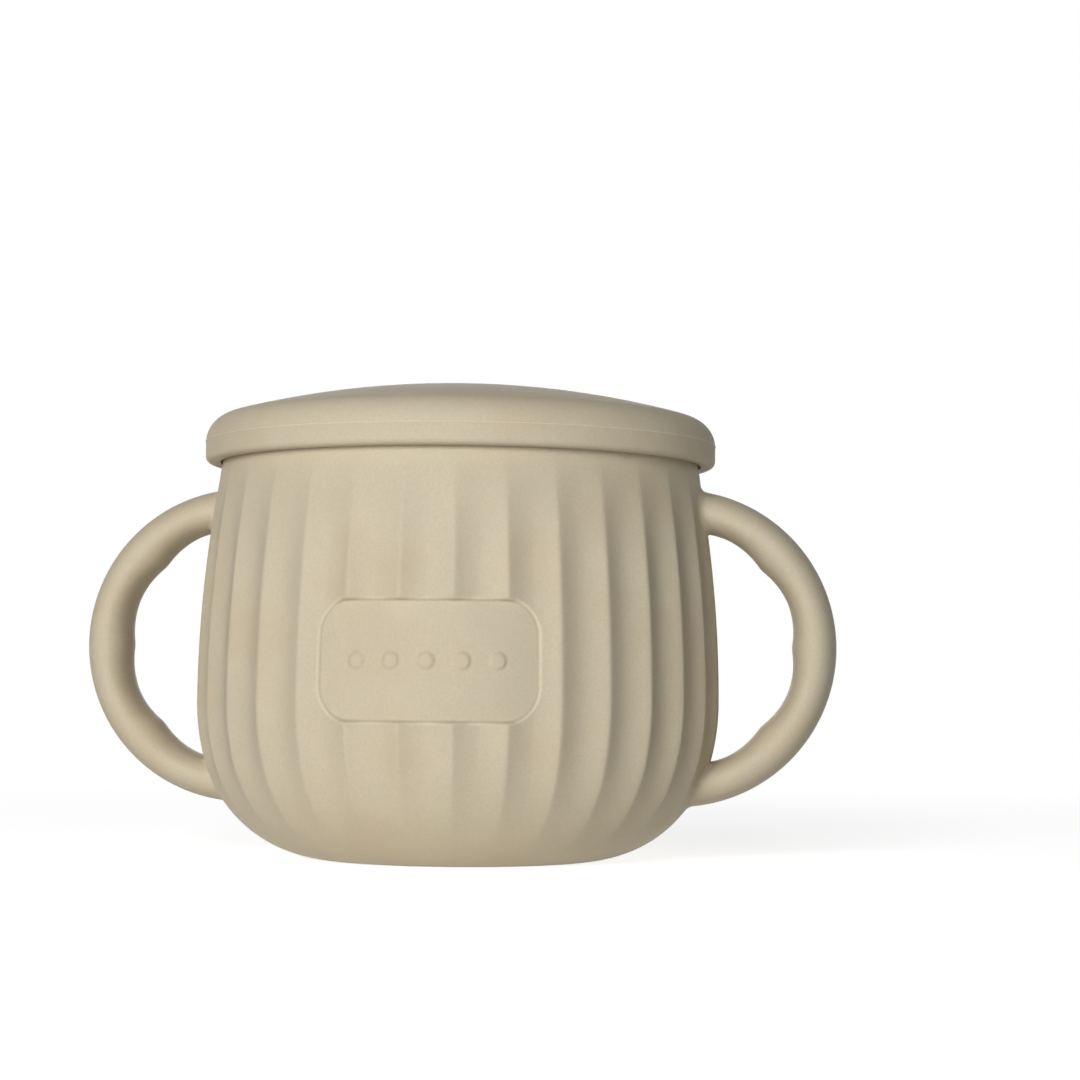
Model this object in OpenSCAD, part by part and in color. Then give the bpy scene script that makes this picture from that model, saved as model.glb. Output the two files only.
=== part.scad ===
// Toddler snack container moulded in soft silicone: a fluted pot with two D-shaped handles,
// a snack lid whose five curved slits leave petals that a small hand pushes through,
// and a domed cover lid that goes over both.
// Millimetres. Z points up, the origin is the centre of the base on the table, the handles
// lie along X and the plaque faces -Y.

/* [Cup] */
// Radius of the cup at its widest, over the crests of the flutes
body_r = 47.5; // [46:0.5:50]
// Height of the widest point
belly_z = 28.6; // [26:0.2:31]
// Radius of the flat that the cup stands on
foot_r = 22.4; // [20:0.2:26]
// Radius of the curve in side view just under the widest point
haunch_r = 40; // [36:0.5:44]
// How much smaller the radius of the straight band under the rim is
neck_taper = 4.2; // [3:0.1:6]
// Height where the straight band starts
neck_z = 72; // [68:0.5:78]
// Height of the straight band
rim_band_h = 3; // [2:0.5:5]
// Rounding of the rim's outer edge
rim_round = 0.4; // [0.2:0.1:0.6]
// Thickness of the wall and floor, over the crests
wall = 3; // [2.6:0.1:3.6]

/* [Flutes] */
// Number of flutes round the cup; a multiple of 4 keeps one behind each handle and the plaque
flute_count = 32; // [24:4:40]
// Depth of a flute between two crests
flute_depth = 1.05; // [0.4:0.05:1.1]
// Height where the flutes begin
flute_foot_z = 2; // [1:0.5:6]
// Height over which they grow to full depth at the bottom
flute_foot_run = 23; // [5:0.5:26]
// Distance from the end of the flutes up to the straight band
flute_head_gap = 0.5; // [0.5:0.5:4]
// Height over which they fade out at the top
flute_head_run = 24; // [4:0.5:28]

/* [Plaque] */
// Width of the sunk plaque on the front
plaque_w = 39; // [30:0.5:44]
// Height of the plaque
plaque_h = 20.5; // [15:0.5:24]
// Height of the plaque's centre
plaque_z = 35.3; // [32:0.1:42]
// Corner radius of the plaque
plaque_corner = 5; // [2:0.5:7]
// Depth of the plaque's floor under the crests
plaque_depth = 1.3; // [1:0.05:1.6]

/* [Handles] */
// How far the centre of a handle's arc lies inside the cup's widest radius
handle_inset = 7.7; // [6:0.1:9]
// Distance from the top of a handle up to the straight band
handle_drop = 4.5; // [4:0.1:7]
// Outer radius of a handle's arc
handle_r = 28.7; // [26:0.1:31]
// Thickness of a handle across its arc, at the finger ridges
handle_t = 7.9; // [7:0.1:9.5]
// Width of a handle along Y
handle_w = 14.2; // [11:0.2:16]
// Rounding of a handle's edges
handle_round = 3.8; // [2:0.1:3.9]
// Depth of the finger hollows inside a handle
grip_depth = 0.8; // [0.3:0.1:1.2]
// Angle between two finger ridges
grip_step = 43; // [38:1:46]
// How far a handle is rooted in the wall, under the crests
root_depth = 1.3; // [1.1:0.1:1.6]

/* [Snack lid] */
// How far the rim shows outside the lid's plate
plate_inset = 1; // [0.8:0.1:1.6]
// Thickness of the plate
plate_t = 2.4; // [2:0.1:2.8]
// Rounding of the plate's top edge
plate_round = 1.3; // [0.6:0.1:1.6]
// Thickness of the skirt that plugs the mouth of the cup
plug_t = 2; // [1.6:0.1:3]
// Depth of the skirt under the rim
plug_h = 6; // [4:0.5:8]
// Gap between the skirt and the mouth
plug_gap = 0.35; // [0.25:0.05:0.5]
// Height of the sealing ribs on the skirt
seal_rib = 0.2; // [0.1:0.05:0.2]
// Number of sealing ribs
seal_count = 2; // [1:1:3]

/* [Petals] */
// Angle of the first slit's end from +X
slit_turn = -5; // [-36:1:36]
// Distance from the skirt's inner side to the centres of the keyholes at the slits' ends
keyhole_margin = 5.55; // [4:0.05:8]
// Diameter of a keyhole
keyhole_d = 3.6; // [2.8:0.1:4]
// Radius that a slit curves with
slit_r = 29; // [28:0.5:31]
// Width of a slit
slit_w = 1.8; // [1:0.1:2]
// Distance from the middle of the lid to the nearest point of a slit's curve
slit_offset = 5.4; // [4.5:0.1:7]
// Thickness of a petal
petal_t = 1.8; // [1.5:0.1:2.2]
// Gap left between a petal's root and the plate
root_gap = 0.4; // [0.35:0.05:0.5]

/* [Cover lid] */
// Thickness of the cover's skirt
skirt_t = 2.7; // [2.4:0.1:4]
// How far the cover's skirt reaches down over the straight band and below it
cover_overlap = 3.5; // [2.8:0.1:5]
// Rounding of the skirt's lower outside edge
lip_round = 2.2; // [1:0.1:2.4]
// Gap between the skirt and the straight band
cover_gap = 0.5; // [0.4:0.05:0.7]
// Radius of the crown's low dome
crown_r = 160; // [150:5:220]
// Radius of the curve between the crown and the side
shoulder_r = 5.2; // [4.5:0.1:6.5]
// Thickness of the crown
crown_t = 2.4; // [2:0.1:3]

/* [Fits] */
// Gap left between faces that rest on each other
seat_gap = 0.15; // [0.1:0.05:0.25]
// Gap between the snack lid's plate and the cover round it
plate_gap = 0.3; // [0.25:0.05:0.5]
// Gap between the plate's edge and the cover's ceiling over it
ceiling_gap = 0.2; // [0.15:0.05:1]

/* [Hidden] */
$fn = 96;
sand = [0.80, 0.76, 0.67];
sand_dark = [0.72, 0.68, 0.58];
sand_light = [0.86, 0.82, 0.74];
// Length by which a cutter passes through a face
cut = 1;

// The cup's side view is three arcs: foot, haunch and side, each tangent to the next
rim_z = neck_z + rim_band_h;
neck_r = body_r - neck_taper;
haunch_x = body_r - haunch_r;
side_r = ((neck_z - belly_z) ^ 2 + (body_r - neck_r) ^ 2) / (2 * (body_r - neck_r));
side_x = body_r - side_r;
foot_arc_r = (haunch_r ^ 2 - (foot_r - haunch_x) ^ 2 - belly_z ^ 2) / (2 * (haunch_r - belly_z));
haunch_turn = atan2(belly_z - foot_arc_r, foot_r - haunch_x);
mouth_r = neck_r - wall;

// Rings of the skin, with more of them where the flutes fade
foot_steps = 8;
haunch_steps = 2;
side_steps = 7;
fade_steps = 4;
points_per_flute = 4;
// One petal for each petal node, with a slit between two petals
petal_count = 5;
skin_points = flute_count * points_per_flute;
flute_top_z = neck_z - flute_head_gap;
flute_full_z = flute_top_z - flute_head_run;
handle_x = body_r - handle_inset;
handle_z = neck_z - handle_drop - handle_r;

// Points from one angle to another on a circle
function arc(cx, cy, r, from, to, steps) =
    [for (i = [0:steps]) let (a = from + (to - from) * i / steps) [cx + r * cos(a), cy + r * sin(a)]];
function side_at(z) = side_x + sqrt(side_r ^ 2 - (z - belly_z) ^ 2);
// 0 below the first value, 1 above the second, smooth between
function ramp(x, from, to) = let (t = min(1, max(0, (x - from) / (to - from)))) t * t * (3 - 2 * t);
function flute_at(z) = flute_depth * ramp(z, flute_foot_z, flute_foot_z + flute_foot_run)
    * (1 - ramp(z, flute_full_z, flute_top_z));
// 0 on a crest and 1 in the middle of a flute
function hollow(i) = let (t = 2 * (i % points_per_flute) / points_per_flute - 1) 1 - t * t;

// Side view of the body, moved inwards by d, from the floor to the straight band
function body_side(d) = concat(
    arc(foot_r, foot_arc_r, foot_arc_r - d, -90, -haunch_turn, foot_steps),
    arc(haunch_x, belly_z, haunch_r - d, -haunch_turn, 0, haunch_steps),
    [for (i = [1:side_steps]) let (z = belly_z + (flute_full_z - belly_z) * i / side_steps)
        [side_at(z) - d, z]],
    [for (i = [1:fade_steps]) let (z = flute_full_z + (neck_z - flute_full_z) * i / fade_steps)
        [side_at(z) - d, z]]);

// The outside of the cup with its flutes, closed and solid
module skin() {
    rings = concat(
        [[foot_r, -cut]],
        body_side(0),
        [[neck_r, rim_z - rim_round], [neck_r - rim_round, rim_z], [neck_r - rim_round, rim_z + cut]]);
    last = len(rings) - 1;
    points = [for (ring = rings) for (i = [0:skin_points - 1])
        let (r = ring[0] - flute_at(ring[1]) * hollow(i),
             a = (i / points_per_flute - 0.5) * 360 / flute_count)
        [r * cos(a), r * sin(a), ring[1]]];
    sides = [for (k = [0:last - 1]) for (i = [0:skin_points - 1])
        let (j = (i + 1) % skin_points, low = k * skin_points, high = low + skin_points)
        each [[low + i, high + i, high + j], [low + i, high + j, low + j]]];
    floor_face = [for (i = [0:skin_points - 1]) i];
    top_face = [for (i = [skin_points - 1:-1:0]) last * skin_points + i];
    intersection() {
        polyhedron(points, concat([floor_face], sides, [top_face]));
        cylinder(h = rim_z, r = body_r + cut);
    }
}

// The body's plain outline as a solid of revolution, moved inwards by d
module core(d, top) {
    side = body_side(d);
    rotate_extrude() polygon(concat([[0, side[0][1]]], side, [[neck_r - d, top], [0, top]]));
}

module plaque_cutter() {
    corner_x = plaque_w / 2 - plaque_corner;
    corner_z = plaque_h / 2 - plaque_corner;
    difference() {
        translate([0, -body_r - cut, plaque_z]) rotate([-90, 0, 0]) linear_extrude(body_r) {
            square([plaque_w, 2 * corner_z], center = true);
            square([2 * corner_x, plaque_h], center = true);
            for (x = [-corner_x, corner_x]) for (z = [-corner_z, corner_z])
                translate([x, z]) circle(plaque_corner);
        }
        core(plaque_depth, rim_z);
    }
}

// A ring, rounded at its edges, with four hollows for fingers on the side away from the cup
module handle_ring() {
    inner_r = handle_r - handle_t;
    edge_r = min(handle_round, 0.49 * handle_t, 0.49 * handle_w);
    corner_r = [inner_r + edge_r, handle_r - edge_r];
    corner_y = handle_w / 2 - edge_r;
    ridge_half = grip_step / 2;
    hollow_r_out = inner_r + grip_depth;
    hollow_x = (hollow_r_out ^ 2 - inner_r ^ 2) / (2 * (hollow_r_out - inner_r * cos(ridge_half)));
    difference() {
        rotate([90, 0, 0]) rotate_extrude() {
            translate([corner_r[0], -handle_w / 2])
                square([corner_r[1] - corner_r[0], handle_w]);
            translate([inner_r, -corner_y]) square([handle_t, 2 * corner_y]);
            for (r = corner_r) for (y = [-corner_y, corner_y]) translate([r, y]) circle(edge_r);
        }
        for (i = [-1.5:1:1.5]) rotate([0, i * grip_step, 0]) translate([hollow_x, 0, 0])
            rotate([90, 0, 0]) cylinder(h = handle_w + cut, r = hollow_r_out - hollow_x, center = true);
    }
}

// One handle: what lies outside the cup of a ring that is rooted just under the skin
module handle() {
    difference() {
        translate([handle_x, 0, handle_z]) handle_ring();
        core(root_depth, rim_z);
    }
}

module cup() {
    color(sand) difference() {
        skin();
        core(wall, rim_z + cut);
        plaque_cutter();
        handle();
        mirror([1, 0, 0]) handle();
    }
}

module right_handle() { color(sand_dark) handle(); }
module left_handle() { color(sand_dark) mirror([1, 0, 0]) handle(); }

plate_r = neck_r - plate_inset;
plate_z = rim_z + seat_gap;
plate_top = plate_z + plate_t;
plug_r = mouth_r - plug_gap;
petal_turn = 360 / petal_count;
keyhole_ring_r = plug_r - plug_t - keyhole_margin;
// Distance of a slit curve's centre from the lid's axis, and its angle from the slit's keyhole
slit_centre_r = slit_r - slit_offset;
slit_centre_turn = acos((slit_centre_r ^ 2 + keyhole_ring_r ^ 2 - slit_r ^ 2)
    / (2 * slit_centre_r * keyhole_ring_r));
root_r = keyhole_ring_r * cos(petal_turn / 2);

module keyholes() {
    for (i = [0:petal_count - 1]) rotate(slit_turn + i * petal_turn)
        translate([keyhole_ring_r, 0]) circle(d = keyhole_d, $fn = 32);
}

// The straight-sided figure that the petals fill, its sides moved inwards by d
module petal_field(d) {
    half = (root_r - d) / cos(petal_turn / 2);
    polygon([for (i = [0:petal_count - 1]) let (a = slit_turn + i * petal_turn)
        [half * cos(a), half * sin(a)]]);
}

module slit_circle(number, r) {
    rotate(slit_turn + number * petal_turn + slit_centre_turn) translate([slit_centre_r, 0]) circle(r);
}

// A petal lies inside the curve of its own slit and outside the curve of the next one
module petal(number) {
    color(sand_light) translate([0, 0, plate_top - petal_t]) linear_extrude(petal_t) difference() {
        intersection() {
            petal_field(root_gap);
            slit_circle(number - 1, slit_r - slit_w / 2);
        }
        slit_circle(number, slit_r + slit_w / 2);
        keyholes();
    }
}

module snack_lid() {
    skirt_z = rim_z - plug_h;
    rib_step = plug_h / (seal_count + 1);
    color(sand_light) difference() {
        rotate_extrude() {
            polygon(concat(
                [[0, plate_z], [plate_r, plate_z]],
                arc(plate_r - plate_round, plate_top - plate_round, plate_round, 0, 90, 4),
                [[0, plate_top]]));
            translate([plug_r - plug_t, skirt_z]) square([plug_t, plate_top - plate_t / 2 - skirt_z]);
            for (i = [1:seal_count]) translate([plug_r - seal_rib, skirt_z + i * rib_step])
                circle(2 * seal_rib, $fn = 24);
        }
        translate([0, 0, plate_z - cut]) linear_extrude(plate_t + 2 * cut) {
            petal_field(0);
            keyholes();
        }
    }
}

module cover_lid() {
    skirt_r = neck_r + cover_gap;
    cover_r = skirt_r + skirt_t;
    seat_z = rim_z + seat_gap;
    bore_r = plate_r + plate_gap;
    ceiling_r = crown_r - crown_t;
    ceiling_turn = acos(bore_r / ceiling_r);
    crown_z = plate_top + ceiling_gap - sqrt(ceiling_r ^ 2 - plate_r ^ 2);
    shoulder_x = cover_r - shoulder_r;
    shoulder_z = crown_z + sqrt((crown_r - shoulder_r) ^ 2 - shoulder_x ^ 2);
    shoulder_turn = atan2(shoulder_z - crown_z, shoulder_x);
    lip_z = rim_z - cover_overlap;
    lip_r = min(lip_round, skirt_t, shoulder_z - lip_z);
    color(sand) rotate_extrude() polygon(concat(
        [[bore_r, seat_z], [skirt_r, seat_z]],
        [if (lip_r < skirt_t) [skirt_r, lip_z]],
        arc(cover_r - lip_r, lip_z + lip_r, lip_r, -90, 0, 6),
        arc(shoulder_x, shoulder_z, shoulder_r, 0, shoulder_turn, 8),
        arc(0, crown_z, crown_r, shoulder_turn, 90, 10),
        arc(0, crown_z, ceiling_r, 90, ceiling_turn, 8)));
}

module petal_1() { petal(1); }
module petal_2() { petal(2); }
module petal_3() { petal(3); }
module petal_4() { petal(4); }
module petal_5() { petal(5); }

cup();
left_handle();
right_handle();
snack_lid();
petal_1();
petal_2();
petal_3();
petal_4();
petal_5();
cover_lid();
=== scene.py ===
# %% [markdown]
# # A toddler's snack cup in soft silicone
# The real thing is three mouldings: a fluted pot with two handles, a snack lid whose curved
# slits leave petals for a small hand to push through, and a domed cover that closes it all.
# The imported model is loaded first. It fixes every size and every motion, and the pieces made
# here are drawn round it, so nothing has to be fitted afterwards.

# %% The frame
import math

import bmesh
import bpy
from mathutils import Matrix, Vector


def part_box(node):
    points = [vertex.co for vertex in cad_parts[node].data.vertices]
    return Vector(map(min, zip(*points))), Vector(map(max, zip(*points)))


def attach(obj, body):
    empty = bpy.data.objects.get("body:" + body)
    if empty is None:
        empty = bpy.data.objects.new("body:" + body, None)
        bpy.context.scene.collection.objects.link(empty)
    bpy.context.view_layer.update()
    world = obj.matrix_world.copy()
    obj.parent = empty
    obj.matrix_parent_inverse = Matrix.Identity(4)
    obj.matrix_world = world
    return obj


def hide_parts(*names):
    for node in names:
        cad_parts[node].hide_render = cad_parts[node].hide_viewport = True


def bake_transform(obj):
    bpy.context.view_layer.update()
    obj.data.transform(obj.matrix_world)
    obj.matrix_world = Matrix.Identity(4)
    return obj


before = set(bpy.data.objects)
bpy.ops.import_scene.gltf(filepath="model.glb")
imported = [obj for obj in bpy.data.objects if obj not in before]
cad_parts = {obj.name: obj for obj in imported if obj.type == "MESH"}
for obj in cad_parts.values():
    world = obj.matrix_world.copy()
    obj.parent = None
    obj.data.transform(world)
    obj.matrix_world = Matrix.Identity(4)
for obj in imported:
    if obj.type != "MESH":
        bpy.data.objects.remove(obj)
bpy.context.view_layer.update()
print("frame nodes:", ", ".join(sorted(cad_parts)))

# %% [markdown]
# ## Sizes
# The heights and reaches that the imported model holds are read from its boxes. A box doesn't
# tell the radius of a curve, so those are named here once. Everything is in metres, and MM
# keeps the numbers readable for someone who thinks in millimetres.

# %% Sizes read from the frame
MM = 0.001
SEAT_GAP = 0.15 * MM

rim_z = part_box("cup")[1].z
plate_z = rim_z + SEAT_GAP
plate_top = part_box("snack_lid")[1].z
plug_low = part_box("snack_lid")[0].z
plate_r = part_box("snack_lid")[1].x
lip_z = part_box("cover_lid")[0].z
cover_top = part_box("cover_lid")[1].z
cover_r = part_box("cover_lid")[1].x
handle_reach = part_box("right_handle")[1].x
handle_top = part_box("right_handle")[1].z
handle_half_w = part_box("right_handle")[1].y
print(f"rim at {rim_z / MM:.1f} mm, closed height {cover_top / MM:.1f} mm")

# %% The curves of the pot's side view
BODY_R = 47.5 * MM
BELLY_Z = 28.6 * MM
FOOT_R = 22.4 * MM
HAUNCH_R = 40 * MM
BAND_H = 3 * MM
WALL = 3 * MM
PLATE_INSET = 1 * MM

neck_r = plate_r + PLATE_INSET
neck_z = rim_z - BAND_H
mouth_r = neck_r - WALL
haunch_x = BODY_R - HAUNCH_R
side_r = ((neck_z - BELLY_Z) ** 2 + (BODY_R - neck_r) ** 2) / (2 * (BODY_R - neck_r))
foot_arc_r = ((HAUNCH_R ** 2 - (FOOT_R - haunch_x) ** 2 - BELLY_Z ** 2)
              / (2 * (HAUNCH_R - BELLY_Z)))
haunch_turn = math.atan2(BELLY_Z - foot_arc_r, FOOT_R - haunch_x)


def haunch_low(inset):
    """Height where the haunch curve, moved inwards, hands over to the foot curve."""
    return BELLY_Z - (HAUNCH_R - inset) * math.sin(haunch_turn)


def body_radius(z, inset=0.0):
    """Radius over the crests at height z: foot curve, haunch curve, long side, straight band."""
    if z >= neck_z:
        return neck_r - inset
    if z >= BELLY_Z:
        return BODY_R - side_r + math.sqrt(side_r ** 2 - (z - BELLY_Z) ** 2) - inset
    if z >= haunch_low(inset):
        return haunch_x + math.sqrt((HAUNCH_R - inset) ** 2 - (BELLY_Z - z) ** 2)
    return FOOT_R + math.sqrt(max(0, (foot_arc_r - inset) ** 2 - (foot_arc_r - z) ** 2))


print(f"the pot is {2 * BODY_R / MM:.1f} mm wide and its side curve has a {side_r / MM:.0f} mm radius")

# %% [markdown]
# ## Three small tools
# A ramp that is smooth at both ends fades the flutes and softens edges. An arc gives the points
# of a round stretch. Rows give even steps along a straight one.


# %% Ramp, arc and rows
def ramp(x, start, end):
    """0 up to start, 1 from end on, and smooth at both."""
    t = min(1, max(0, (x - start) / (end - start)))
    return t * t * (3 - 2 * t)


def arc(cx, cz, r, start, end, steps):
    """Points on a circle in side view, from one angle in degrees to another."""
    angles = [math.radians(start + (end - start) * i / steps) for i in range(steps + 1)]
    return [(cx + r * math.cos(a), cz + r * math.sin(a)) for a in angles]


def rows(start, end, step):
    """Even values from start up to, but not including, end, about a step apart."""
    count = max(1, round(abs(end - start) / step))
    return [start + (end - start) * i / count for i in range(count)]


print("a ramp half way up gives", ramp(0.5, 0, 1))

# %% [markdown]
# ## Silicone
# All the mouldings come from the same sand-coloured silicone. It is matt with a soft satin
# sheen, which is whiter than the warm colour under it. The blasted mould leaves a fine grain
# on every face, and the pigment drifts very slightly from place to place.
# Two noise patterns on Object coordinates do this. The fine one gives the grain to the bump,
# the roughness and the shade. The coarse one mixes a rosier sand, the plain one and a cooler
# one. They stay put on a piece as the piece moves.
# Some light and shade falls along edges finer than any mesh should hold, on a hair line and a
# step. It is painted: a small change of shade where a distance, worked out by maths nodes, comes close
# to a chosen value.

# %% Maths nodes and fine lines
def math_node(nodes, links, operation, *values):
    """A maths node whose inputs are other nodes' outputs or plain numbers."""
    node = nodes.new("ShaderNodeMath")
    node.operation = operation
    for socket, value in zip(node.inputs, values):
        if isinstance(value, bpy.types.NodeSocket):
            links.new(value, socket)
        else:
            socket.default_value = value
    return node.outputs["Value"]


def line_shade(nodes, links, across, middle, half, level):
    """A shade of 1 that turns to level on a line, and is back at 1 half a width from it."""
    away = math_node(nodes, links, "ABSOLUTE", math_node(nodes, links, "SUBTRACT", across, middle))
    line = nodes.new("ShaderNodeMapRange")
    line.inputs["From Max"].default_value = half
    line.inputs["To Min"].default_value = level
    line.inputs["To Max"].default_value = 1
    links.new(away, line.inputs["Value"])
    return line.outputs["Result"]


print("two helpers for sums in a material are ready")

# %% The pigment's slow drift
SAND_SHADES = [(0.616, 0.528, 0.380), (0.632, 0.552, 0.404), (0.616, 0.543, 0.396)]
SHADE_STOPS = (0.36, 0.5, 0.64)
DRIFT_SCALE = 60
DRIFT_DETAIL = 3


def noise(nodes, links, place, scale, detail):
    """A soft, cloudy value from 0 to 1 that stays put on the piece."""
    pattern = nodes.new("ShaderNodeTexNoise")
    pattern.inputs["Scale"].default_value = scale
    pattern.inputs["Detail"].default_value = detail
    links.new(place, pattern.inputs["Vector"])
    return pattern.outputs["Fac"]


def sand_colour(nodes, links, place):
    """The sand colour, rosier or cooler from place to place."""
    shades = nodes.new("ShaderNodeValToRGB")
    for stop, colour in zip(SHADE_STOPS, SAND_SHADES):
        element = shades.color_ramp.elements.new(stop)
        element.color = (*colour, 1)
    shades.color_ramp.elements.remove(shades.color_ramp.elements[-1])
    shades.color_ramp.elements.remove(shades.color_ramp.elements[0])
    links.new(noise(nodes, links, place, DRIFT_SCALE, DRIFT_DETAIL), shades.inputs["Fac"])
    return shades.outputs["Color"]


print(len(SAND_SHADES), "shades of sand")

# %% The silicone material
GRAIN_SCALE = 2400
GRAIN_DETAIL = 2
GRAIN_SPREAD = (0.3, 0.7)
GRAIN_SHADE = (0.96, 1.03)
GRAIN_HEIGHT = 0.04 * MM
SATIN = (0.48, 0.64)
SHEEN_LEVEL = 0.17


def spread(nodes, links, value, start, end):
    """Turns a value that runs over start into one that runs over end, both (low, high)."""
    node = nodes.new("ShaderNodeMapRange")
    node.inputs["From Min"].default_value, node.inputs["From Max"].default_value = start
    node.inputs["To Min"].default_value, node.inputs["To Max"].default_value = end
    links.new(value, node.inputs["Value"])
    return node.outputs["Result"]


def silicone(name, painted_light_lines=None):
    """Matt silicone; an optional function makes painted lines of highlight and shade to multiply its
    colour by.
    """
    material = bpy.data.materials.new(name)
    material.use_nodes = True
    nodes, links = material.node_tree.nodes, material.node_tree.links
    shader = nodes["Principled BSDF"]
    place = nodes.new("ShaderNodeTexCoord").outputs["Object"]
    grain = noise(nodes, links, place, GRAIN_SCALE, GRAIN_DETAIL)

    shade = spread(nodes, links, grain, GRAIN_SPREAD, GRAIN_SHADE)
    # The optional lines are painted highlight and painted shade, multiplied into the colour.
    if painted_light_lines:
        shade = math_node(nodes, links, "MULTIPLY", shade, painted_light_lines(nodes, links, place))
    colour = nodes.new("ShaderNodeVectorMath")
    colour.operation = "SCALE"
    links.new(sand_colour(nodes, links, place), colour.inputs[0])
    links.new(shade, colour.inputs["Scale"])
    links.new(colour.outputs["Vector"], shader.inputs["Base Color"])

    bump = nodes.new("ShaderNodeBump")
    bump.inputs["Strength"].default_value = 1
    bump.inputs["Distance"].default_value = GRAIN_HEIGHT
    links.new(grain, bump.inputs["Height"])
    links.new(bump.outputs["Normal"], shader.inputs["Normal"])
    links.new(spread(nodes, links, grain, (0, 1), SATIN), shader.inputs["Roughness"])
    shader.inputs["Specular IOR Level"].default_value = SHEEN_LEVEL
    print("material", name)
    return material


handle_silicone = silicone("handle_silicone")
snack_silicone = silicone("snack_lid_silicone")
petal_silicone = silicone("petal_silicone")

# %% [markdown]
# ## From a spun side view to a finished piece
# A round moulding is one closed side view turned about Z. The spin may be split into parts
# with wide and narrow steps, so that a detailed stretch gets more columns than a plain one.
# Doubles at the seam and at the poles are merged, and only then are the normals worked out.
# Nearly every edge of a moulding is a small round, so faces are shaded smooth across an edge
# unless it turns by more than the crease angle.


# %% Spin a side view
MERGE_GAP = 0.001 * MM


def spin_side(side, parts):
    """Turns side, points of (radius, height), about Z. Each part is (start, wedge, steps,
    copies): a wedge in degrees is spun in steps, and then copied on round the axis."""
    bm = bmesh.new()
    for start, wedge, steps, copies in parts:
        turn = Matrix.Rotation(math.radians(start), 3, "Z")
        verts = [bm.verts.new(turn @ Vector((r, 0, z))) for r, z in side]
        edges = [bm.edges.new(pair) for pair in zip(verts, verts[1:])]
        made_before = len(bm.faces)
        bmesh.ops.spin(bm, geom=verts + edges, cent=(0, 0, 0), axis=(0, 0, 1),
                       angle=math.radians(wedge), steps=steps)
        bm.faces.ensure_lookup_table()
        first_wedge = bm.faces[made_before:]
        for copy in range(1, copies):
            made = bmesh.ops.duplicate(bm, geom=first_wedge)["geom"]
            copied = [item for item in made if isinstance(item, bmesh.types.BMVert)]
            onwards = Matrix.Rotation(math.radians(wedge * copy), 3, "Z")
            bmesh.ops.rotate(bm, cent=(0, 0, 0), matrix=onwards, verts=copied)
    bmesh.ops.remove_doubles(bm, verts=bm.verts, dist=MERGE_GAP)
    bmesh.ops.recalc_face_normals(bm, faces=bm.faces)
    return bm


print(f"points closer than {MERGE_GAP / MM:.3f} mm are merged")

# %% Finish a piece
CREASE = math.radians(50)


def finish_piece(bm, name, material, node, body=None):
    """Makes the mesh an object that stands for a node and, if a body is given, rides on it."""
    for edge in bm.edges:
        edge.smooth = edge.is_manifold and edge.calc_face_angle() < CREASE
    loose = sum(not edge.is_manifold for edge in bm.edges)
    mesh = bpy.data.meshes.new(name)
    bm.to_mesh(mesh)
    bm.free()
    mesh.materials.append(material)
    mesh.polygons.foreach_set("use_smooth", [True] * len(mesh.polygons))
    piece = bpy.data.objects.new(name, mesh)
    bpy.context.scene.collection.objects.link(piece)
    if body:
        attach(piece, body)
    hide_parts(node)
    mesh.calc_loop_triangles()
    print(f"{name}: {len(mesh.loop_triangles)} triangles, {loose} open edges")
    return piece


# %% [markdown]
# ## The fluted pot
# Thirty-two shallow flutes run down the pot and fade into a plain foot and a plain neck, and a
# plaque is sunk into the front, a little below the bottoms of the flutes. A modeller could cut
# each flute with a boolean, but sharp cutters leave hard, untidy edges. Here the wall is spun
# from one side view that goes up the outside, over the rim and down the inside, which gives it
# its true thickness. Then flutes and plaque are pressed into the outside by moving its points.

# %% Flutes
FLUTES = 32
FLUTE_DEPTH = 1.3 * MM
FLUTE_FOOT = (1 * MM, 25 * MM)
FLUTE_HEAD = (52 * MM, 70 * MM)
CREST_SOFTNESS = 0.08
CREST_CROWDING = 1.5


def scallop(steps):
    """0 on a crest and 1 midway to the next, for a place counted in steps between crests."""
    away = abs(steps - round(steps)) * 2
    soft = math.sqrt(away ** 2 + CREST_SOFTNESS ** 2) - CREST_SOFTNESS
    return min(1, 2 * soft - soft ** 2)


def flute_depth(turn, z):
    """Depth under the crests at an angle round the pot, in radians, and a height."""
    head_start, head_end = FLUTE_HEAD
    fade = ramp(z, *FLUTE_FOOT) * min(1, max(0, (head_end - z) / (head_end - head_start)))
    return FLUTE_DEPTH * fade * scallop(turn * FLUTES / math.tau + 0.5)


def towards_crest(turn):
    """Moves a column towards the nearest crest, so that few columns still show it crisp."""
    steps = turn * FLUTES / math.tau + 0.5
    away = steps - round(steps)
    moved = math.copysign(abs(2 * away) ** CREST_CROWDING / 2, away)
    return (round(steps) + moved - 0.5) * math.tau / FLUTES


print(f"a flute is {math.tau * BODY_R / FLUTES / MM:.1f} mm wide and {FLUTE_DEPTH / MM:.2f} mm deep")

# %% [markdown]
# The plaque is a place for a name. A row of round pips stands on its floor instead, so it is
# finished but names nobody. The distance to a rounded rectangle draws its edge, and the
# distance to the nearest pip's centre draws the pips. A pale line of painted highlight runs
# along the brink of the pressed step, and a darker line of painted shade along its foot, so the
# same distance is worked out once more by nodes, to paint those two lines into the pot's material.

# %% Plaque
PLAQUE_W = 39.4 * MM
PLAQUE_H = 20.6 * MM
PLAQUE_Z = 35.45 * MM
PLAQUE_CORNER = 6 * MM
PLAQUE_DEPTH = 1.55 * MM
PLAQUE_EDGE = 0.24 * MM
PIPS = 5
PIP_STEP = 6.2 * MM
PIP_R = 1.7 * MM
PIP_H = 0.4 * MM
PIP_EDGE = 0.7 * MM


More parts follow.
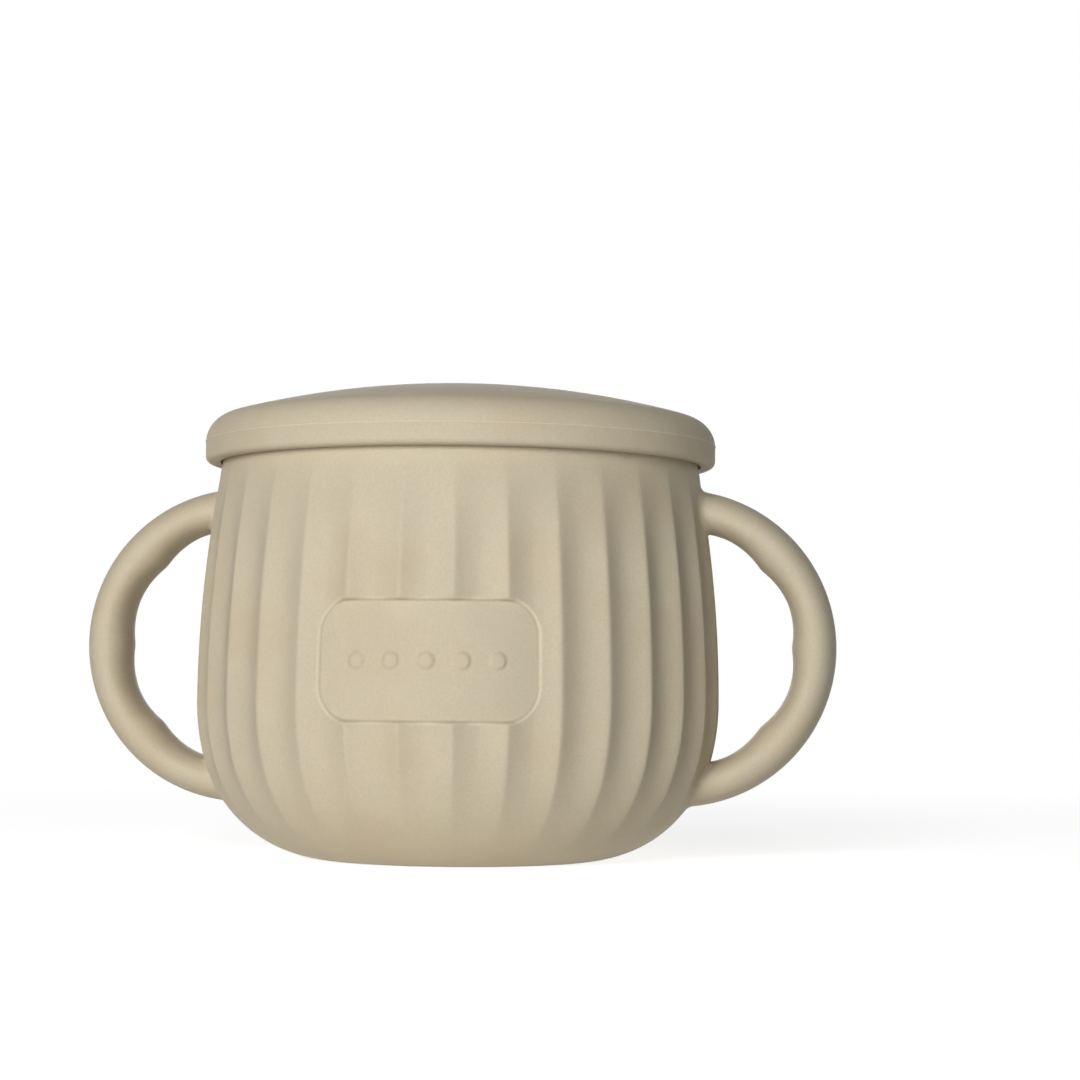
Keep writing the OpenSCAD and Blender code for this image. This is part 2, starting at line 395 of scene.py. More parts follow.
def edge_distance(x, z):
    """How far a point lies outside the plaque's outline; negative inside."""
    dx = abs(x) - PLAQUE_W / 2 + PLAQUE_CORNER
    dz = abs(z) - PLAQUE_H / 2 + PLAQUE_CORNER
    return math.hypot(max(dx, 0), max(dz, 0)) + min(max(dx, dz), 0) - PLAQUE_CORNER


def pip_height(x, z):
    """How far the nearest pip stands up from the plaque's floor."""
    number = max(-(PIPS // 2), min(PIPS // 2, round(x / PIP_STEP)))
    away = math.hypot(x - number * PIP_STEP, z)
    return PIP_H * (1 - ramp(away, PIP_R - PIP_EDGE, PIP_R))


def skin_depth(turn, z):
    """Depth of the pot's outside under the crests, flutes and plaque together."""
    depth = flute_depth(turn, z)
    x, up = (turn + math.pi / 2) * body_radius(z), z - PLAQUE_Z
    away = edge_distance(x, up)
    inside = 1 - ramp(away, -PLAQUE_EDGE, PLAQUE_EDGE)
    return depth + (PLAQUE_DEPTH - pip_height(x, up) - depth) * inside


print(f"plaque {PLAQUE_W / MM:.1f} x {PLAQUE_H / MM:.1f} mm")

# %% The pot's silicone, with painted light and shade along the plaque's outline
# The brink's pale line is a painted highlight, and the step foot's dark line is painted shade.
BRINK_OUT = 0.18 * MM
BRINK_PAINTED_HIGHLIGHT = 1.15
STEP_IN = 0.24 * MM
STEP_PAINTED_SHADE = 0.83
LINE_HALF = 0.3 * MM
SKIN_REACH = 0.8 * WALL


def plaque_painted_light_and_shade(nodes, links, place):
    """Painted highlight in a pale line along the plaque's brink, painted shade in a darker one at
    the foot of its step. It stays on the outside of the wall, because the inside lies deeper than
    SKIN_REACH."""
    split = nodes.new("ShaderNodeSeparateXYZ")
    links.new(place, split.inputs["Vector"])
    x, y, z = split.outputs

    def make(operation, *values):
        return math_node(nodes, links, operation, *values)

    turn = make("ARCTAN2", x, make("MULTIPLY", y, -1))
    dx = make("SUBTRACT", make("MULTIPLY", make("ABSOLUTE", turn), body_radius(PLAQUE_Z)),
              PLAQUE_W / 2 - PLAQUE_CORNER)
    dz = make("SUBTRACT", make("ABSOLUTE", make("SUBTRACT", z, PLAQUE_Z)),
              PLAQUE_H / 2 - PLAQUE_CORNER)
    beyond = [make("POWER", make("MAXIMUM", d, 0), 2) for d in (dx, dz)]
    away = make("SUBTRACT", make("ADD", make("SQRT", make("ADD", *beyond)),
                                 make("MINIMUM", make("MAXIMUM", dx, dz), 0)), PLAQUE_CORNER)
    reach = make("SQRT", make("ADD", make("POWER", x, 2), make("POWER", y, 2)))
    away = make("ADD", away, make("LESS_THAN", reach, BODY_R - SKIN_REACH))
    # A painted highlight on the brink, times painted shade at the foot of the step.
    return make("MULTIPLY", line_shade(nodes, links, away, BRINK_OUT, LINE_HALF, BRINK_PAINTED_HIGHLIGHT),
                line_shade(nodes, links, away, -STEP_IN, LINE_HALF, STEP_PAINTED_SHADE))


cup_silicone = silicone("cup_silicone", plaque_painted_light_and_shade)

# %% The pot's side view
RIM_ROUND = 0.4 * MM
FINE_ROW = 0.28 * MM
PLAIN_ROW = 0.9 * MM
INNER_ROW = 4 * MM
EDGE_ROW = 1 * MM
FOOT_TURN = 54
FOOT_STEP = 3
RIM_STEPS = 4
BOWL_STEPS = 12

plaque_low = PLAQUE_Z - PLAQUE_H / 2 - EDGE_ROW
plaque_high = PLAQUE_Z + PLAQUE_H / 2 + EDGE_ROW
foot_angles = [math.radians(a) for a in range(0, FOOT_TURN, FOOT_STEP)]
foot_rows = [foot_arc_r * (1 - math.cos(a)) for a in foot_angles]
heights = (foot_rows[:-1]
           + rows(foot_rows[-1], plaque_low, PLAIN_ROW)
           + rows(plaque_low, plaque_high, FINE_ROW)
           + rows(plaque_high, neck_z, PLAIN_ROW)
           + [neck_z, neck_z + EDGE_ROW])
outside = [(body_radius(z), z) for z in heights]
rim = (arc(neck_r - RIM_ROUND, rim_z - RIM_ROUND, RIM_ROUND, 0, 90, RIM_STEPS)
       + arc(mouth_r + RIM_ROUND, rim_z - RIM_ROUND, RIM_ROUND, 90, 180, RIM_STEPS))
inside = [(body_radius(z, WALL), z) for z in rows(neck_z, haunch_low(WALL), INNER_ROW)]
bowl = arc(FOOT_R, foot_arc_r, foot_arc_r - WALL, -math.degrees(haunch_turn), -90, BOWL_STEPS)
pot_side = [(0, 0), (FOOT_R - EDGE_ROW, 0)] + outside + rim + inside + bowl + [(0, WALL)]
print(len(pot_side), "points in the pot's side view")

# %% Spin the pot and press in its flutes and plaque
FRONT_FLUTES = 5
FRONT_COLUMNS = 40
PLAIN_COLUMNS = 10

flute_wedge = 360 / FLUTES
front_start = -90 - FRONT_FLUTES * flute_wedge / 2
pot = spin_side(pot_side,
                [(front_start, flute_wedge, FRONT_COLUMNS, FRONT_FLUTES),
                 (front_start + FRONT_FLUTES * flute_wedge, flute_wedge, PLAIN_COLUMNS,
                  FLUTES - FRONT_FLUTES)])
front_half = math.radians(FRONT_FLUTES * flute_wedge / 2)
for vert in pot.verts:
    x, y, z = vert.co
    reach = math.hypot(x, y)
    turn = math.atan2(y, x)
    if turn > math.pi / 2:
        turn -= math.tau
    if abs(turn + math.pi / 2) > front_half:
        turn = towards_crest(turn)
    if z < neck_z and reach > body_radius(z) - WALL / 2:
        reach -= skin_depth(turn, z)
    vert.co.x, vert.co.y = reach * math.cos(turn), reach * math.sin(turn)
finish_piece(pot, "fluted_pot", cup_silicone, "cup", "cup_body")

# %% [markdown]
# ## The handles
# Each handle is part of a ring with a soft, flattened section, and its inner side has four
# shallow hollows for small fingers. The section is a circle pushed towards a rectangle and
# spun half way round the ring. Each line along the ring then ends just under the pot's skin,
# found by halving the angle between outside and inside, and swells into a small fillet there.
# Seen edge on, a fine parting line runs round the middle of the ring.

# %% The handle's section and its finger hollows
HANDLE_R = 28.7 * MM
HANDLE_T = 7.9 * MM
GRIP_DEPTH = 0.8 * MM
GRIP_STEP = math.radians(43)
SQUARENESS = 2.1
PARTING_H = 0.05 * MM
PARTING_HALF = 0.35 * MM
SECTION_POINTS = 64
HANDLE_STEPS = 180

handle_x = handle_reach - HANDLE_R
handle_z = handle_top - HANDLE_R
ring_middle = HANDLE_R - HANDLE_T / 2


def towards_square(value):
    return math.copysign(abs(value) ** (2 / SQUARENESS), value)


def ring_point(u, v, angle):
    """Distance from the ring's centre and from its mid-plane, for a place on the section."""
    hollow = GRIP_DEPTH * scallop(angle / GRIP_STEP) * max(0, -u)
    line = PARTING_H * (1 - ramp(abs(v) * handle_half_w, 0, PARTING_HALF)) * math.copysign(1, u)
    return ring_middle + u * HANDLE_T / 2 + hollow + line, v * handle_half_w


print(f"handle ring {2 * HANDLE_R / MM:.0f} mm across, {HANDLE_T / MM:.1f} mm thick")

# %% Where a line along the ring meets the pot
FILLET = 1.1 * MM
ROOT_SINK = 0.35 * MM
END_CROWDING = 1.5
ROOT_SEARCH = (50, 100)
HALVINGS = 22


def wall_angle(r, y, up):
    """Angle from level at which the ring's line at radius r and depth y goes under the skin."""
    outside_angle, inside_angle = (math.radians(a) for a in ROOT_SEARCH)
    for _ in range(HALVINGS):
        angle = (outside_angle + inside_angle) / 2
        x, z = handle_x + r * math.cos(angle), handle_z + up * r * math.sin(angle)
        skin = body_radius(z) - flute_depth(math.atan2(y, x), z) - ROOT_SINK
        if math.hypot(x, y) > skin:
            outside_angle = angle
        else:
            inside_angle = angle
    return outside_angle


def fillet(distance):
    """How far the section swells at a distance along the ring from its end."""
    short = FILLET - min(FILLET, max(0, distance - ROOT_SINK))
    return FILLET - math.sqrt(FILLET ** 2 - short ** 2)


print(f"top root at {math.degrees(wall_angle(ring_middle, 0, 1)):.1f} degrees from level")


# %% Make a handle
def make_handle(name, node, side):
    """Spins the section into half a ring, and moves each point to its line's true place."""
    bm = bmesh.new()
    bmesh.ops.create_circle(bm, cap_ends=True, radius=1, segments=SECTION_POINTS)
    for vert in bm.verts:
        u, v = towards_square(vert.co.x), towards_square(vert.co.y)
        vert.co = (0, v * handle_half_w, -ring_middle - u * HANDLE_T / 2)
    whole = bm.verts[:] + bm.edges[:] + bm.faces[:]
    bmesh.ops.spin(bm, geom=whole, cent=(0, 0, 0), axis=(0, -1, 0),
                   angle=math.pi, steps=HANDLE_STEPS)
    for vert in bm.verts:
        x, y, z = vert.co
        u, v = (math.hypot(x, z) - ring_middle) * 2 / HANDLE_T, y / handle_half_w
        share = math.atan2(z, max(x, 0)) * 2 / math.pi
        up = 1 if share > 0 else -1
        along = 1 - (1 - abs(share)) ** END_CROWDING
        angle = wall_angle(ring_middle + u * HANDLE_T / 2, y, up) * along
        r, y = ring_point(u, v, up * angle)
        swell = fillet((1 - along) * wall_angle(r, y, up) * r)
        outwards = Vector((u, v)).normalized() if u or v else Vector((0, 0))
        r, y = r + swell * outwards.x, y + swell * outwards.y
        angle = up * wall_angle(r, y, up) * along
        vert.co = (side * (handle_x + r * math.cos(angle)), y, handle_z + r * math.sin(angle))
    bmesh.ops.recalc_face_normals(bm, faces=bm.faces)
    return finish_piece(bm, name, handle_silicone, node, "cup_body")


make_handle("right_handle_loop", "right_handle", 1)
make_handle("left_handle_loop", "left_handle", -1)

# %% [markdown]
# ## The cover
# A low dome turns over a round shoulder into a short skirt that grips the band under the rim.
# The skirt's lower edge is rounded outside and nearly sharp inside. Where the two halves of its
# mould met, a hair line stands up all round the shoulder. One spun side view holds all of
# this, and a fine pale line in the material is a painted highlight along the hair line.

# %% The cover's side view
SKIRT_T = 2.7 * MM
CROWN_R = 160 * MM
CROWN_T = 2.4 * MM
SHOULDER_R = 5.2 * MM
LIP_R = 1.1 * MM
LIP_INNER_R = 0.2 * MM
PLATE_GAP = 0.3 * MM
HAIR_Z = 75.3 * MM
HAIR_H = 0.1 * MM
HAIR_HALF = 0.2 * MM
CEILING_START = 89
CEILING_STEPS = 10
INNER_LIP_STEPS = 4
LIP_STEPS = 14
SHOULDER_STEPS = 90
CROWN_STEPS = 40

skirt_r = cover_r - SKIRT_T
bore_r = plate_r + PLATE_GAP
crown_z = cover_top - CROWN_R
shoulder_x = cover_r - SHOULDER_R
shoulder_z = crown_z + math.sqrt((CROWN_R - SHOULDER_R) ** 2 - shoulder_x ** 2)
shoulder_turn = math.degrees(math.atan2(shoulder_z - crown_z, shoulder_x))
ceiling_r = CROWN_R - CROWN_T
ceiling_turn = math.degrees(math.acos(bore_r / ceiling_r))
shoulder = [(r + HAIR_H * (1 - ramp(abs(z - HAIR_Z), 0, HAIR_HALF)), z)
            for r, z in arc(shoulder_x, shoulder_z, SHOULDER_R, 0, shoulder_turn, SHOULDER_STEPS)]
cover_side = ([(0, crown_z + ceiling_r)]
              + arc(0, crown_z, ceiling_r, CEILING_START, ceiling_turn, CEILING_STEPS)
              + [(bore_r, plate_z), (skirt_r, plate_z)]
              + arc(skirt_r + LIP_INNER_R, lip_z + LIP_INNER_R, LIP_INNER_R, 180, 270,
                    INNER_LIP_STEPS)
              + arc(cover_r - LIP_R, lip_z + LIP_R, LIP_R, -90, 0, LIP_STEPS)
              + shoulder
              + arc(0, crown_z, CROWN_R, shoulder_turn, 90, CROWN_STEPS)[1:])
print(len(cover_side), "points in the cover's side view")

# %% Spin the cover
COVER_WEDGES = 16
WEDGE_STEPS = 16
# The hair line's paler shade is a painted highlight, not a colour of the silicone.
HAIR_HIGHLIGHT = 1.22
HAIR_HIGHLIGHT_HALF = 0.16 * MM


def hair_line_highlight(nodes, links, place):
    """Painted highlight: a paler shade along the hair line, where the raised line would catch the
    light.
    """
    split = nodes.new("ShaderNodeSeparateXYZ")
    links.new(place, split.inputs["Vector"])
    return line_shade(nodes, links, split.outputs["Z"], HAIR_Z, HAIR_HIGHLIGHT_HALF, HAIR_HIGHLIGHT)


cover = spin_side(cover_side, [(0, 360 / COVER_WEDGES, WEDGE_STEPS, COVER_WEDGES)])
cover_silicone = silicone("cover_silicone", hair_line_highlight)
finish_piece(cover, "domed_cover", cover_silicone, "cover_lid", "cover_lid_body")

# %% [markdown]
# ## The snack lid
# A flat plate with a rounded edge sits on the rim, and a skirt with two sealing ribs plugs the
# mouth. Five slits, each with a round keyhole at its outer end, cut the middle into petals.
# The ring is spun, and the points of its inner edge are then drawn in to the outline of the
# opening: straight where a petal is joined on, curved where a slit or a keyhole is cut.

# %% Slits and keyholes
PETALS = 5
SLIT_TURN = math.radians(-5)
SLIT_R = 29 * MM
SLIT_W = 1.8 * MM
SLIT_OFFSET = 5.4 * MM
KEYHOLE_R = 1.8 * MM
KEYHOLE_RING_R = 32.4 * MM

petal_turn = math.tau / PETALS
slit_centre_r = SLIT_R - SLIT_OFFSET
slit_centre_turn = math.acos((slit_centre_r ** 2 + KEYHOLE_RING_R ** 2 - SLIT_R ** 2)
                             / (2 * slit_centre_r * KEYHOLE_RING_R))
root_r = KEYHOLE_RING_R * math.cos(petal_turn / 2)
half_chord = KEYHOLE_RING_R * math.sin(petal_turn / 2)


def slit_centre(turn):
    """A slit's centre as (along the petal's root line, inwards from it), for a keyhole that
    lies turn radians round from the middle of the root line."""
    a = turn + slit_centre_turn
    return Vector((slit_centre_r * math.sin(a), root_r - slit_centre_r * math.cos(a)))


own_slit = slit_centre(-petal_turn / 2)
next_slit = slit_centre(petal_turn / 2)
print(f"root lines lie {root_r / MM:.1f} mm from the axis and are {2 * half_chord / MM:.1f} mm long")

# %% The opening's outline
ROOT_SLACK = 0.01 * MM


def opening_radius(turn):
    """How far the opening reaches from the axis at an angle round the lid."""
    away = (turn - SLIT_TURN) % petal_turn - petal_turn / 2
    reach = root_r / math.cos(away)
    along = root_r * math.tan(away)
    if along > 0:
        dip = next_slit.y - math.sqrt((SLIT_R + SLIT_W / 2) ** 2 - (next_slit.x - along) ** 2)
        reach += max(0, -dip) / math.cos(away)
    beside = KEYHOLE_RING_R * math.sin(petal_turn / 2 - abs(away))
    if beside < KEYHOLE_R:
        middle = KEYHOLE_RING_R * math.cos(petal_turn / 2 - abs(away))
        reach = middle + math.sqrt(KEYHOLE_R ** 2 - beside ** 2)
    return reach


def is_root(turn):
    """True where a petal is joined to the ring."""
    away = (turn - SLIT_TURN) % petal_turn - petal_turn / 2
    return opening_radius(turn) < root_r / math.cos(away) + ROOT_SLACK


print(f"the opening reaches {opening_radius(SLIT_TURN) / MM:.1f} mm at a keyhole")

# %% The ring's side view
PLATE_ROUND = 1.3 * MM
PLATE_EDGE = 0.1 * MM
PLUG_GAP = 0.35 * MM
PLUG_T = 2 * MM
SEAL_RIB = 0.2 * MM
SEAL_COUNT = 2
PLUG_ROUND = 0.6 * MM
PLUG_ROW = 0.2 * MM
PLUG_CORNER = 0.3 * MM
EDGE_ROUND = 0.3 * MM
FLAT_W = 1 * MM
SPUN_R = 5 * MM
EDGE_STEPS = 4
PLATE_STEPS = 10
PLUG_STEPS = 5

plug_r = mouth_r - PLUG_GAP
plug_in = plug_r - PLUG_T
inner_flat = plug_in - FLAT_W
rib_step = (rim_z - plug_low) / (SEAL_COUNT + 1)
rib_heights = [plug_low + i * rib_step for i in range(1, SEAL_COUNT + 1)]


def rib(z):
    """How far the nearest sealing rib stands out from the plug at a height."""
    return SEAL_RIB * max(1 - ramp(abs(z - middle), 0, 2 * SEAL_RIB) for middle in rib_heights)


plug_rows = rows(plate_z - PLATE_EDGE, plug_low + PLUG_ROUND, PLUG_ROW)
plug_outside = [(plug_r + rib(z), z) for z in plug_rows]
edge_top = arc(SPUN_R + EDGE_ROUND, plate_top - EDGE_ROUND, EDGE_ROUND, 180, 90, EDGE_STEPS)
edge_low = arc(SPUN_R + EDGE_ROUND, plate_z + EDGE_ROUND, EDGE_ROUND, -90, -180, EDGE_STEPS)
ring_side = (edge_top + [(inner_flat, plate_top)]
             + arc(plate_r - PLATE_ROUND, plate_top - PLATE_ROUND, PLATE_ROUND, 90, 0, PLATE_STEPS)
             + [(plate_r, plate_z + PLATE_EDGE), (plate_r - PLATE_EDGE, plate_z),
                (plug_r + FLAT_W, plate_z)]
             + plug_outside
             + arc(plug_r - PLUG_ROUND, plug_low + PLUG_ROUND, PLUG_ROUND, 0, -90, PLUG_STEPS)
             + arc(plug_in + PLUG_ROUND, plug_low + PLUG_ROUND, PLUG_ROUND, -90, -180, PLUG_STEPS)
             + [(plug_in, plate_z - PLUG_CORNER), (plug_in - PLUG_CORNER, plate_z),
                (inner_flat, plate_z)]
             + edge_low)
print(len(ring_side), "points in the ring's side view")

# %% Spin the ring and draw in its opening
ROOT_EDGE = 0.01 * MM
INNER_EDGE = 1.5 * EDGE_ROUND
RING_WEDGES = 20
RING_WEDGE_STEPS = 36

plate_middle = (plate_top + plate_z) / 2
ring = spin_side(ring_side + ring_side[:1],
                 [(math.degrees(SLIT_TURN), 360 / RING_WEDGES, RING_WEDGE_STEPS, RING_WEDGES)])
for vert in ring.verts:
    reach = math.hypot(vert.co.x, vert.co.y) - SPUN_R
    if reach < INNER_EDGE:
        turn = math.atan2(vert.co.y, vert.co.x)
        share = ROOT_EDGE / EDGE_ROUND if is_root(turn) else 1
        new = opening_radius(turn) + reach * share
        level = plate_top if vert.co.z > plate_middle else plate_z
        vert.co = (new * math.cos(turn), new * math.sin(turn), level + (vert.co.z - level) * share)
finish_piece(ring, "snack_lid_ring", snack_silicone,
             "snack_lid", "snack_lid_body")

# %% [markdown]
# ## The petals
# Each petal is a thin tongue that bends at its root and stays almost flat beyond. A bend needs
# rows of points across it, so the petal is a rounded slab section that is extruded row by row
# from the root to the tip, each row as wide as the two slit curves leave it. A small circle
# that touches both curves rounds the tip.

# %% The petal's outline
PETAL_T = 1.8 * MM
TIP_R = 1 * MM

own_r = SLIT_R - SLIT_W / 2
next_r = SLIT_R + SLIT_W / 2


def circles_meet(a, ra, b, rb):
    """The point where two circles cross that lies to the left on the way from a to b."""
    gap = b - a
    along = (gap.length_squared + ra ** 2 - rb ** 2) / (2 * gap.length)
    aside = math.sqrt(ra ** 2 - along ** 2)
    step = gap.normalized()
    return a + step * along + Vector((-step.y, step.x)) * aside


tip = circles_meet(own_slit, own_r - TIP_R, next_slit, next_r + TIP_R)
own_touch = (tip + (tip - own_slit).normalized() * TIP_R).y
next_touch = (tip + (next_slit - tip).normalized() * TIP_R).y
petal_length = tip.y + TIP_R


def petal_sides(inwards):
    """Left and right end of the petal's row at a distance from its root line."""
    tip_half = math.sqrt(max(0, TIP_R ** 2 - (inwards - tip.y) ** 2))
    left = own_slit.x - math.sqrt(own_r ** 2 - (inwards - own_slit.y) ** 2)
    right = next_slit.x - math.sqrt(next_r ** 2 - (inwards - next_slit.y) ** 2)
    if inwards > own_touch:
        left = tip.x - tip_half
    if inwards > next_touch:
        right = tip.x + tip_half
    if inwards < KEYHOLE_R:
        left = max(left, -half_chord + math.sqrt(KEYHOLE_R ** 2 - inwards ** 2))
    return left, right


print(f"a petal is {petal_length / MM:.1f} mm long, its tip lies {tip.x / MM:.1f} mm to the side")

# %% The petal's rows and section
PETAL_ROW = 0.7 * MM
ROOT_ROW = 0.18 * MM
TIP_ROWS = 12
SLAB_CORNER = 4
LEAST_FLAT = 0.001 * MM

petal_rows = (rows(0, KEYHOLE_R, ROOT_ROW) + rows(KEYHOLE_R, tip.y, PETAL_ROW)
              + [tip.y + TIP_R * math.sin(math.pi / 2 * i / TIP_ROWS) for i in range(TIP_ROWS)])


def slab_section(left, right, drop):
    """A rounded slab between two ends, as points of (along the root line, height)."""
    r = min(EDGE_ROUND, (right - left) / 2 - LEAST_FLAT)
    top, low = plate_top - drop, plate_top - PETAL_T + drop
    return (arc(right - r, top - r, r, 0, 90, SLAB_CORNER)
            + arc(left + r, top - r, r, 90, 180, SLAB_CORNER)
            + arc(left + r, low + r, r, 180, 270, SLAB_CORNER)
            + arc(right - r, low + r, r, 270, 360, SLAB_CORNER))


def tip_drop(inwards):
    """How far top and underside close in on each other near the rounded end of the tip."""
    short = max(0, EDGE_ROUND - (petal_length - inwards))
    return EDGE_ROUND - math.sqrt(EDGE_ROUND ** 2 - short ** 2)


print(len(petal_rows), "rows from a petal's root to its tip")

# %% Make the petals
TIP_MERGE_GAP = 0.0005 * MM


def next_row(bm, row, edges):
    """Extrudes a closed row of edges and gives the new row's points, in step, and its edges."""
    made = bmesh.ops.extrude_edge_only(bm, edges=edges)["geom"]
    new = [item for item in made if isinstance(item, bmesh.types.BMVert)]
    new_edges = [item for item in made if isinstance(item, bmesh.types.BMEdge)
                 and all(vert in new for vert in item.verts)]
    follow = {next(edge.other_vert(vert) for edge in vert.link_edges if edge not in new_edges): vert
              for vert in new}
    return [follow[vert] for vert in row], new_edges


def make_petal(number):
    """Extrudes the slab section from the root to the tip."""
    name = f"petal_{number}"
    middle = SLIT_TURN + (number - 0.5) * petal_turn
    radial = Vector((math.cos(middle), math.sin(middle), 0))
    across = Vector((-math.sin(middle), math.cos(middle), 0))

    def place(along, inwards, z):
        return radial * (root_r - inwards) + across * along + Vector((0, 0, z))

    bm = bmesh.new()
    row = [bm.verts.new() for _ in range(4 * (SLAB_CORNER + 1))]
    edges = [bm.edges.new((row[i - 1], row[i])) for i in range(len(row))]
    for inwards in petal_rows:
        if inwards > petal_rows[0]:
            row, edges = next_row(bm, row, edges)
        section = slab_section(*petal_sides(inwards), tip_drop(inwards))
        for vert, (along, z) in zip(row, section):
            vert.co = place(along, inwards, z)
    bmesh.ops.holes_fill(bm, edges=bm.edges, sides=0)
    bmesh.ops.remove_doubles(bm, verts=bm.verts, dist=TIP_MERGE_GAP)
    bmesh.ops.recalc_face_normals(bm, faces=bm.faces)
    piece = finish_piece(bm, f"{name}_tongue", petal_silicone, name)
    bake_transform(piece)


for number in range(1, PETALS + 1):
    make_petal(number)

# %% [markdown]
# ## Floor
# The floor is a wide white sheet. Close to the object it is a real diffuse surface that takes
# the object's soft shadow, lifted to white only where it is seen, directly, mirrored or through
# something clear. Further out it turns into plain white, so no horizon shows. The rays that
# light the object meet an ordinary white floor with a faint glow, as a sheet has in a bright
# studio, which throws light up under the foot and the lip.

# %% Floor and backdrop
FLOOR_HALF = 6
FLOOR_SHADE = 0.9
FLOOR_LIFT = 0.8
FLOOR_GLOW = 0.11
SHADOW_REACH = (0.10, 0.40)


def seen_directly(nodes, links):
    """1 for rays that show the background: from the camera, or mirrored or let through."""
    path = nodes.new("ShaderNodeLightPath")
    total = path.outputs["Is Camera Ray"]
    for kind in ("Is Glossy Ray", "Is Transmission Ray"):
        total = math_node(nodes, links, "MAXIMUM", total, path.outputs[kind])
    return total


def mixed(nodes, links, share, first, second):
    """Mixes two shaders: the first at a share of 0, the second at 1."""
    mix = nodes.new("ShaderNodeMixShader")
    links.new(share, mix.inputs["Fac"])
    links.new(first, mix.inputs[1])
    links.new(second, mix.inputs[2])
    return mix.outputs["Shader"]


def with_glow(nodes, links, surface, level):
    """A surface that also gives off a little white light of its own."""
    glow = nodes.new("ShaderNodeEmission")
    glow.inputs["Strength"].default_value = level
    both = nodes.new("ShaderNodeAddShader")
    links.new(surface, both.inputs[0])
    links.new(glow.outputs["Emission"], both.inputs[1])
    return both.outputs["Shader"]


bm = bmesh.new()
bmesh.ops.create_grid(bm, x_segments=1, y_segments=1, size=FLOOR_HALF)
floor_mesh = bpy.data.meshes.new("floor")
bm.to_mesh(floor_mesh)
bm.free()
floor = bpy.data.objects.new("floor", floor_mesh)
bpy.context.scene.collection.objects.link(floor)
print("floor", 2 * FLOOR_HALF, "m wide")

# %% The floor's white
floor_white = bpy.data.materials.new("floor_white")
floor_white.use_nodes = True
nodes, links = floor_white.node_tree.nodes, floor_white.node_tree.links
nodes.clear()
diffuse = nodes.new("ShaderNodeBsdfDiffuse")
diffuse.inputs["Color"].default_value = (FLOOR_SHADE, FLOOR_SHADE, FLOOR_SHADE, 1)
white = nodes.new("ShaderNodeEmission")
white.inputs["Strength"].default_value = 1
distance = nodes.new("ShaderNodeVectorMath")
distance.operation = "LENGTH"
links.new(nodes.new("ShaderNodeTexCoord").outputs["Object"], distance.inputs[0])
far = spread(nodes, links, distance.outputs["Value"], SHADOW_REACH, (0, 1))
lifted = with_glow(nodes, links, diffuse.outputs["BSDF"], FLOOR_LIFT)
shown = mixed(nodes, links, far, lifted, white.outputs["Emission"])
glowing = with_glow(nodes, links, diffuse.outputs["BSDF"], FLOOR_GLOW)
surface = mixed(nodes, links, seen_directly(nodes, links), glowing, shown)
links.new(surface, nodes.new("ShaderNodeOutputMaterial").inputs["Surface"])
floor_mesh.materials.append(floor_white)
print("the floor takes a shadow up to", SHADOW_REACH[0], "m from the middle, then fades to white")

# %% [markdown]
# ## Light
# The light is soft and comes low from the front, a little from the left: the front is the
# brightest, the flanks and the top of the dome are darker. A large round lamp gives it its
# direction, and a weak one to its right opens the shaded side of the flutes. A third one
# stands behind for the back. An even, dim world keeps the deepest shadows readable.

# %% World
WORLD_LEVEL = 0.03

world = bpy.data.worlds.new("soft_room")
bpy.context.scene.world = world
world.use_nodes = True
nodes, links = world.node_tree.nodes, world.node_tree.links
nodes.clear()
room = nodes.new("ShaderNodeBackground")
room.inputs["Strength"].default_value = WORLD_LEVEL
backdrop = nodes.new("ShaderNodeBackground")
backdrop.inputs["Strength"].default_value = 1
for background in (room, backdrop):
    background.inputs["Color"].default_value = (1, 1, 1, 1)
choice = mixed(nodes, links, seen_directly(nodes, links),
               room.outputs["Background"], backdrop.outputs["Background"])
links.new(choice, nodes.new("ShaderNodeOutputWorld").inputs["Surface"])
print("world at", WORLD_LEVEL)


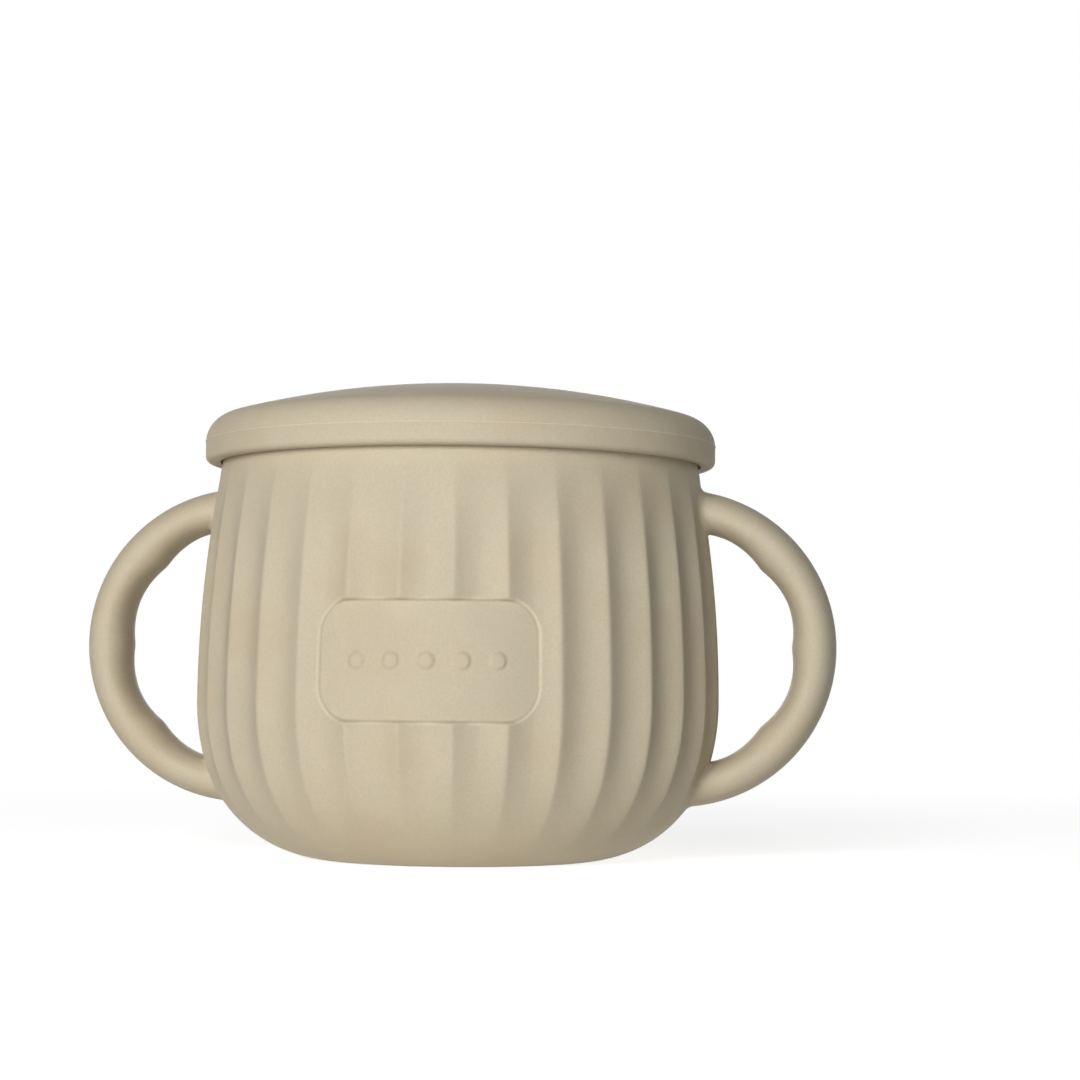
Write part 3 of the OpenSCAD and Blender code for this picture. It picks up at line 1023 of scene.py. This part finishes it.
# %% Lamps
LAMP_SIZE = 0.55
LAMP_AWAY = 1.2
AIM = Vector((0, 0, 0.04))


def soft_lamp(name, turn, height, power):
    """A round lamp aimed at the pot: turn in degrees from the front to the right, height in
    degrees above level, power in watts."""
    lamp = bpy.data.lights.new(name, "AREA")
    lamp.shape = "DISK"
    lamp.size = LAMP_SIZE
    lamp.energy = power
    a, h = math.radians(turn), math.radians(height)
    away = Vector((math.sin(a) * math.cos(h), -math.cos(a) * math.cos(h), math.sin(h)))
    holder = bpy.data.objects.new(name, lamp)
    holder.location = AIM + LAMP_AWAY * away
    holder.rotation_euler = (-away).to_track_quat("-Z", "Y").to_euler()
    holder.visible_camera = False
    bpy.context.scene.collection.objects.link(holder)
    print(f"{name}: {power} W")


soft_lamp("key_light", turn=-12, height=12, power=10.2)
soft_lamp("side_light", turn=14, height=8, power=0.8)
soft_lamp("back_light", turn=187, height=8, power=2.5)

# %% [markdown]
# ## Camera
# The eye is half a metre away, a little under the pot's middle and a few degrees to the right
# of the plaque, so both handles show nearly flat on. The camera is turned a hair to the left
# and tilted up, which leaves the object low and left of the middle of the picture.

# %% Camera
EYE = Vector((59.17, -488.95, 30.1)) * MM
AIM_LEFT = 0.0908
AIM_UP = 0.0571
ROLL = 0.0089
LENS_MM = 89.74
NEAREST = 0.01

forward = Vector((-math.sin(AIM_LEFT) * math.cos(AIM_UP), math.cos(AIM_LEFT) * math.cos(AIM_UP),
                  math.sin(AIM_UP)))
level_right = Vector((math.cos(AIM_LEFT), math.sin(AIM_LEFT), 0))
level_up = level_right.cross(forward)
right = level_right * math.cos(ROLL) + level_up * math.sin(ROLL)
up = right.cross(forward)
camera = bpy.data.objects.new("camera", bpy.data.cameras.new("camera"))
camera.data.lens = LENS_MM
camera.data.clip_start = NEAREST
camera.matrix_world = Matrix.LocRotScale(EYE, Matrix((right, up, -forward)).transposed(), None)
bpy.context.scene.collection.objects.link(camera)
bpy.context.scene.camera = camera
bpy.context.scene.view_settings.view_transform = "Standard"
print("camera", [round(c / MM, 1) for c in EYE], "mm")
